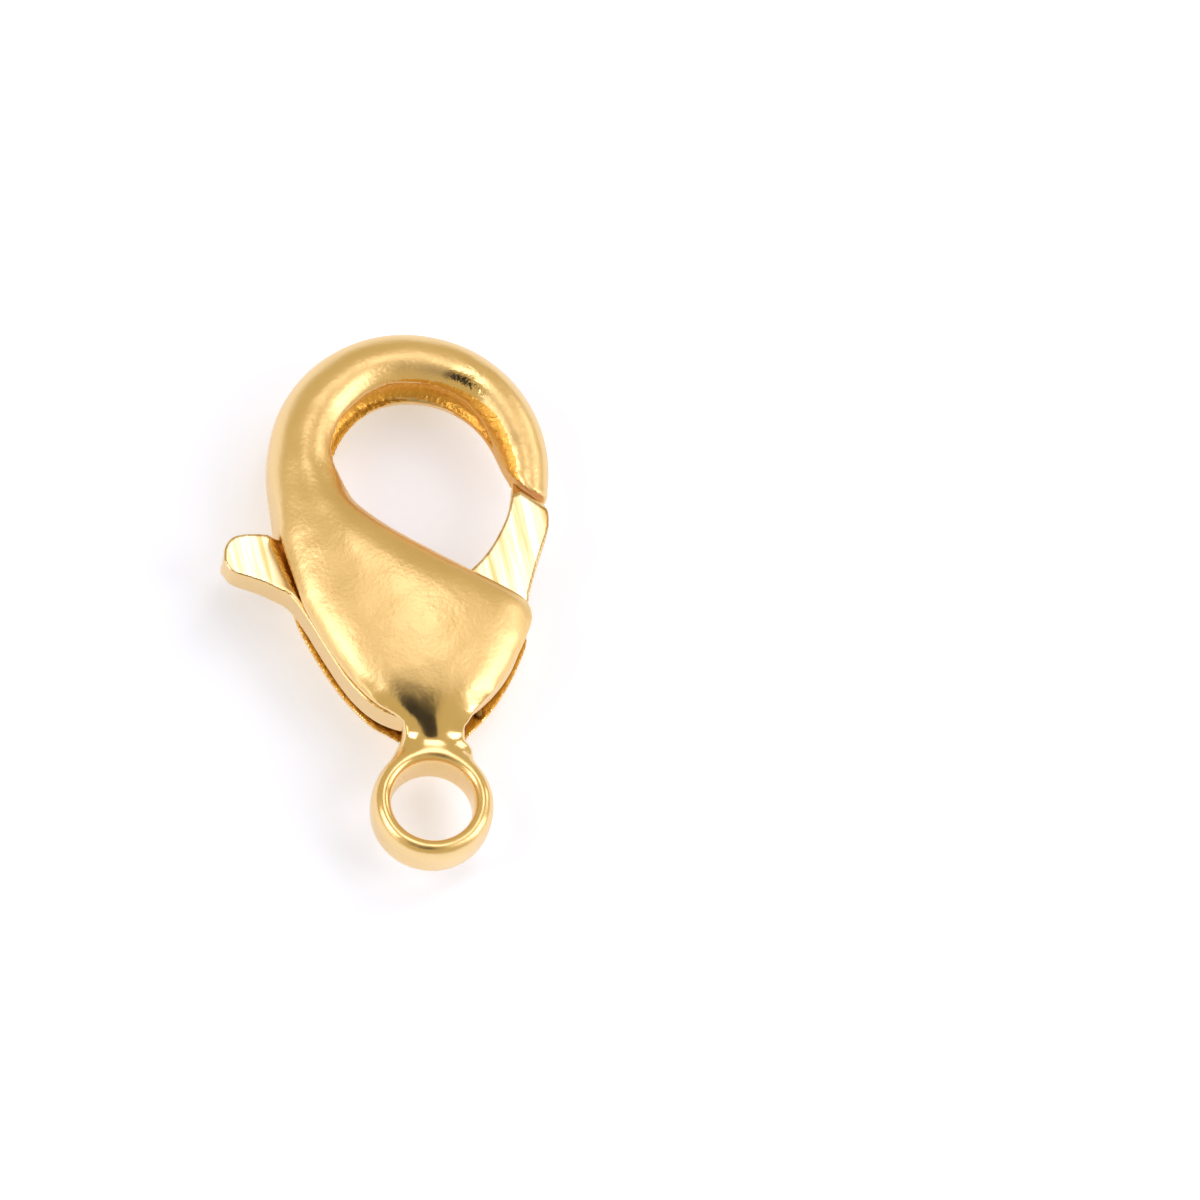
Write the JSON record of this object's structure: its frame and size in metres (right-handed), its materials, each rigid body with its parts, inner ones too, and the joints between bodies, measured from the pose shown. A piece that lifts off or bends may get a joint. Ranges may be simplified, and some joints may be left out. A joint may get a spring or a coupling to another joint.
{
  "type": "lobster clasp",
  "caption": "Lobster clasp with a cast hook body and ring eye, and a thumb lever that a small spring holds shut against the hook's tip.",
  "frame": {"origin": "middle of the ring eye's bore, halfway through its thickness", "axes": "+Y from the ring eye to the hook along the clasp's length, +Z out of the front, the side of the lever's flat face, +X to the gate's side"},
  "size_m": [0.0086, 0.0148, 0.0032],
  "materials": {
    "cast_gold": "tumbled satin gold plating",
    "lever_gold": "polished gold plating with a finely ground flat face",
    "pin_steel": "drawn wire",
    "spring_steel": "drawn wire"
  },
  "bodies": {
    "shell": {"body": "cast_gold", "pivot_pin": "pin_steel", "spring": "spring_steel"},
    "lever": {"lever": "lever_gold"}
  },
  "joints": [
    {"name": "lever_pivot", "type": "hinge", "parent": "shell", "child": "lever", "pos_m": [-0.00026, 0.00513, 0], "axis": [0, 0, 1], "range_deg": [0, 28], "stiffness_Nm_per_rad": 0.025, "springref_deg": -11.46, "deforming": ["spring"]}
  ]
}
